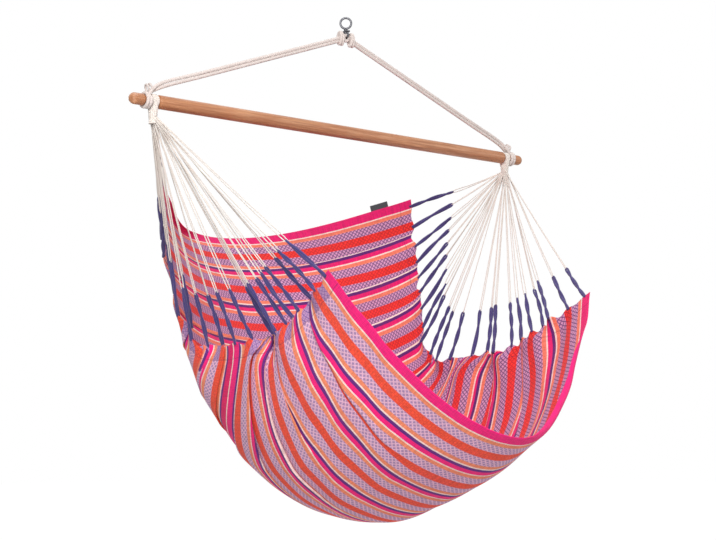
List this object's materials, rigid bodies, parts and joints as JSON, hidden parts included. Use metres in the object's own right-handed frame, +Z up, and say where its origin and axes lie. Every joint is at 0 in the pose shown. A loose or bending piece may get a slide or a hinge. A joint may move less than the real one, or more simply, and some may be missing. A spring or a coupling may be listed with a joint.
{
  "type": "hammock chair",
  "caption": "Cloth hammock chair with a striped seat sling, cord fans, a wooden spreader bar, a suspension rope and a swivel hanger eye.",
  "frame": {"origin": "the point inside the top of the hanger eye where a ceiling hook bears", "axes": "+Z up, X along the spreader bar, the sitter faces -Y"},
  "size_m": [1.3, 1.1599, 1.2637],
  "materials": {
    "hanger_steel": "dark zinc plate, satin",
    "suspension_rope": "braided polyester rope, matt",
    "bar_wood": "oiled bamboo, satin",
    "white_cord": "twisted cotton cord, matt",
    "indigo_fringe": "twisted warp bundles, matt",
    "striped_cloth": "striped jacquard cotton, matt",
    "label_tape": "plain woven tape, matt"
  },
  "bodies": {
    "hanger": {"swivel_eye": "hanger_steel"},
    "bow": {"swivel_bow": "hanger_steel"},
    "hitch": {"rope_hitch": "suspension_rope"},
    "sling": {"rope_whipping_left": "suspension_rope", "rope_whipping_right": "suspension_rope", "rope_left": "suspension_rope", "rope_right": "suspension_rope"},
    "bar": {"spreader_bar": "bar_wood"},
    "seat": {"gather_eye_left": "white_cord", "gather_eye_right": "white_cord", "cord_fan_left": "white_cord", "cord_fan_right": "white_cord", "seat_cloth": "striped_cloth", "label": "label_tape", "fringe_loop_left_01": "indigo_fringe", "fringe_loop_left_02": "indigo_fringe", "fringe_loop_left_03": "indigo_fringe", "fringe_loop_left_04": "indigo_fringe", "fringe_loop_left_05": "indigo_fringe", "fringe_loop_left_06": "indigo_fringe", "fringe_loop_left_07": "indigo_fringe", "fringe_loop_left_08": "indigo_fringe", "fringe_loop_left_09": "indigo_fringe", "fringe_loop_left_10": "indigo_fringe", "fringe_loop_left_11": "indigo_fringe", "fringe_loop_left_12": "indigo_fringe", "fringe_loop_left_13": "indigo_fringe", "fringe_loop_left_14": "indigo_fringe", "fringe_loop_left_15": "indigo_fringe", "fringe_loop_left_16": "indigo_fringe", "fringe_loop_left_17": "indigo_fringe", "fringe_loop_left_18": "indigo_fringe", "fringe_loop_left_19": "indigo_fringe", "fringe_loop_left_20": "indigo_fringe", "fringe_loop_left_21": "indigo_fringe", "fringe_loop_left_22": "indigo_fringe", "fringe_loop_right_01": "indigo_fringe", "fringe_loop_right_02": "indigo_fringe", "fringe_loop_right_03": "indigo_fringe", "fringe_loop_right_04": "indigo_fringe", "fringe_loop_right_05": "indigo_fringe", "fringe_loop_right_06": "indigo_fringe", "fringe_loop_right_07": "indigo_fringe", "fringe_loop_right_08": "indigo_fringe", "fringe_loop_right_09": "indigo_fringe", "fringe_loop_right_10": "indigo_fringe", "fringe_loop_right_11": "indigo_fringe", "fringe_loop_right_12": "indigo_fringe", "fringe_loop_right_13": "indigo_fringe", "fringe_loop_right_14": "indigo_fringe", "fringe_loop_right_15": "indigo_fringe", "fringe_loop_right_16": "indigo_fringe", "fringe_loop_right_17": "indigo_fringe", "fringe_loop_right_18": "indigo_fringe", "fringe_loop_right_19": "indigo_fringe", "fringe_loop_right_20": "indigo_fringe", "fringe_loop_right_21": "indigo_fringe", "fringe_loop_right_22": "indigo_fringe"}
  },
  "joints": [
    {"name": "swivel_spin", "type": "hinge", "parent": "hanger", "child": "bow", "pos_m": [0, 0, -0.034], "axis": [0, 0, 1], "continuous": true},
    {"name": "side_swing", "type": "hinge", "parent": "bow", "child": "hitch", "pos_m": [0, 0, -0.04945], "axis": [0, 1, 0], "range_deg": [-12, 12]},
    {"name": "chair_swing", "type": "hinge", "parent": "hitch", "child": "sling", "pos_m": [0, 0, -0.04945], "axis": [1, 0, 0], "range_deg": [-25, 25]},
    {"name": "bar_roll", "type": "hinge", "parent": "sling", "child": "bar", "pos_m": [0, 0, -0.291], "axis": [1, 0, 0], "continuous": true},
    {"name": "seat_swing", "type": "hinge", "parent": "sling", "child": "seat", "pos_m": [0, 0, -0.291], "axis": [1, 0, 0], "range_deg": [-20, 20]}
  ]
}
